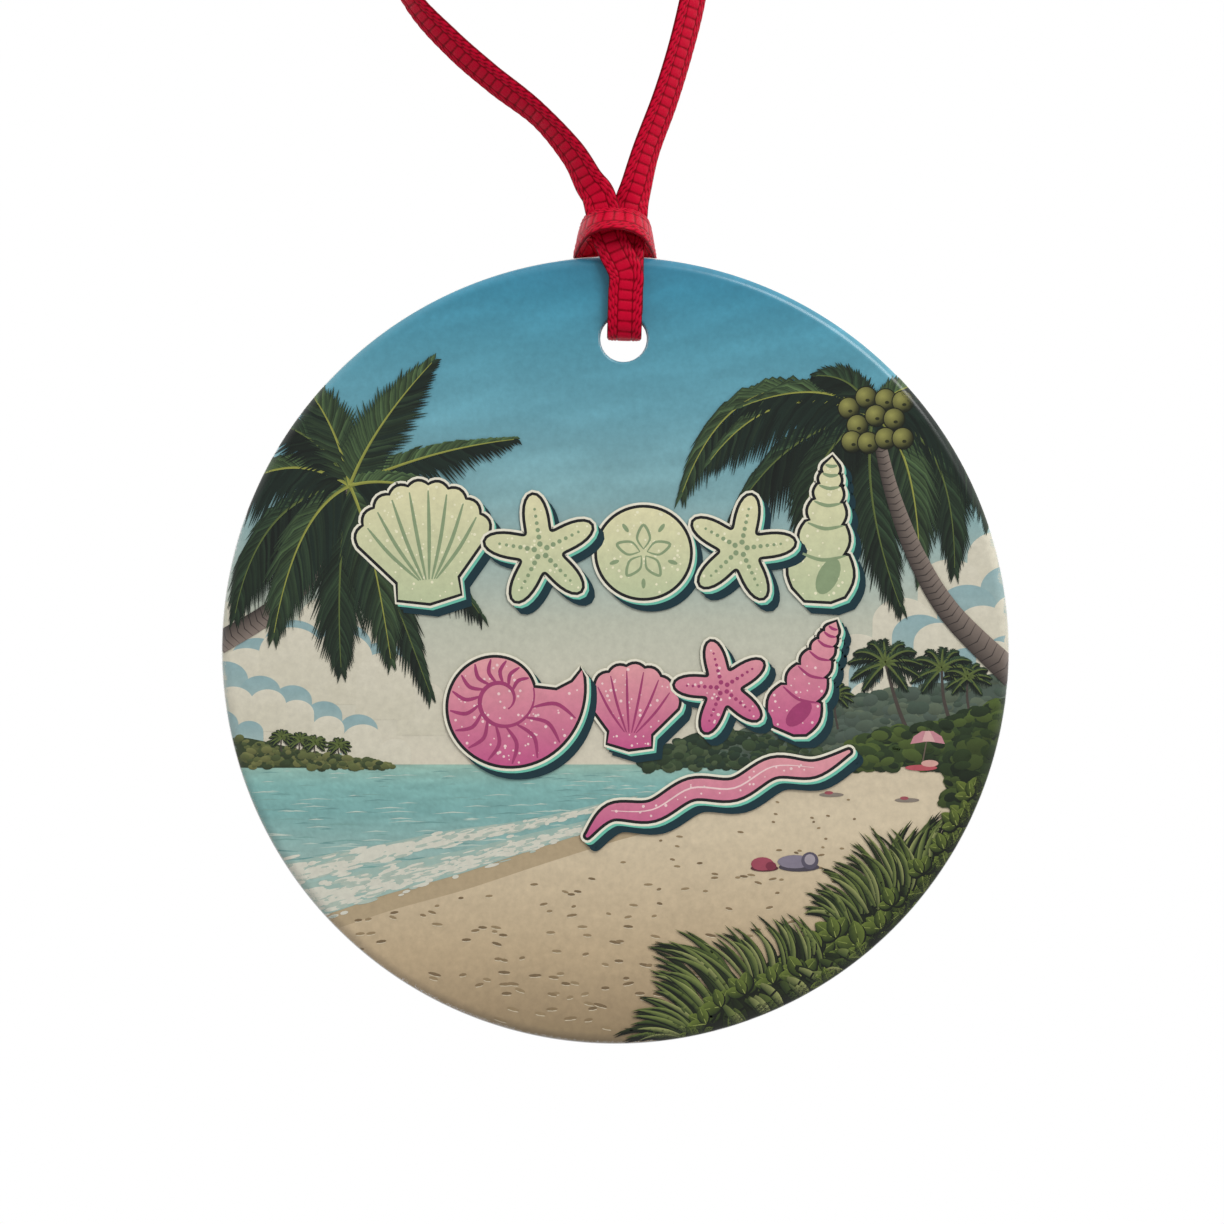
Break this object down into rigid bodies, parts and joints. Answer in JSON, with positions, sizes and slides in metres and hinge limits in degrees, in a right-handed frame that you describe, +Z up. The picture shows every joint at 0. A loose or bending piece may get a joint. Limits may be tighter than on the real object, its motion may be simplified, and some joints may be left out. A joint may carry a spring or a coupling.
{
  "type": "souvenir christmas ornament",
  "caption": "Round flat glazed ceramic ornament with a printed tropical beach scene, hung from a loop of narrow red ribbon hitched through its top hole.",
  "frame": {"origin": "the hang point: top of the inside of the ribbon loop, just under the knot that closes it", "axes": "+Z up, the ornament hangs down -Z; -Y towards the printed front; +X to the right seen from the front"},
  "size_m": [0.073, 0.0079, 0.1495],
  "materials": {
    "glazed_ceramic": "glossy white glaze, printed on the front",
    "ribbon": "satin woven polyester"
  },
  "bodies": {
    "hanger": {"ribbon_end_knot": "ribbon", "ribbon_tail_left": "ribbon", "ribbon_tail_right": "ribbon"},
    "loop": {"ribbon_left_leg": "ribbon", "ribbon_right_leg": "ribbon"},
    "hitch": {"ribbon_front_strand_left": "ribbon", "ribbon_front_strand_right": "ribbon", "ribbon_back_strand_left": "ribbon", "ribbon_back_strand_right": "ribbon", "ribbon_hitch_band": "ribbon"},
    "disc": {"ceramic_disc": "glazed_ceramic"}
  },
  "joints": [
    {"name": "loop_swing", "type": "hinge", "parent": "hanger", "child": "loop", "pos_m": [0, 0, 0], "axis": [1, 0, 0], "range_deg": [-45, 45]},
    {"name": "ribbon_twist", "type": "hinge", "parent": "loop", "child": "hitch", "pos_m": [0, 0, -0.056], "axis": [0, 0, 1], "range_deg": [-90, 90]},
    {"name": "disc_swing", "type": "hinge", "parent": "hitch", "child": "disc", "pos_m": [0, 0, -0.06815], "axis": [0, -1, 0], "range_deg": [-10, 10]}
  ]
}
